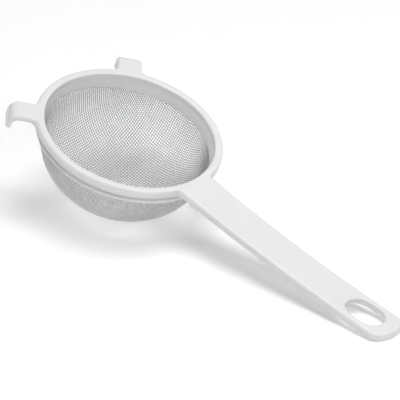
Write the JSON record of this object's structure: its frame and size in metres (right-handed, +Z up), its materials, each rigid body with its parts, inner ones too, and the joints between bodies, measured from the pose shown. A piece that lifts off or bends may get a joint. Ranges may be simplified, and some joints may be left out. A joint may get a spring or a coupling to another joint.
{
  "type": "kitchen hand strainer",
  "caption": "Small round white plastic hand strainer with a woven mesh bowl, a long slotted handle and rest hooks on the rim.",
  "frame": {"origin": "centre of the footprint, on the surface that the strainer lies on", "axes": "+X from the bowl towards the handle's end, +Y across the handle, +Z up; the strainer rests on its bowl and the handle's end, so its rim is tilted 15.9 degrees about Y"},
  "size_m": [0.2304, 0.1, 0.0598],
  "materials": {
    "white_plastic": "satin moulded polypropylene",
    "woven_nylon": "plain woven nylon monofilament"
  },
  "bodies": {
    "root": {"frame": "white_plastic", "clamp_ring": "white_plastic", "mesh_bowl": "woven_nylon"}
  },
  "joints": []
}
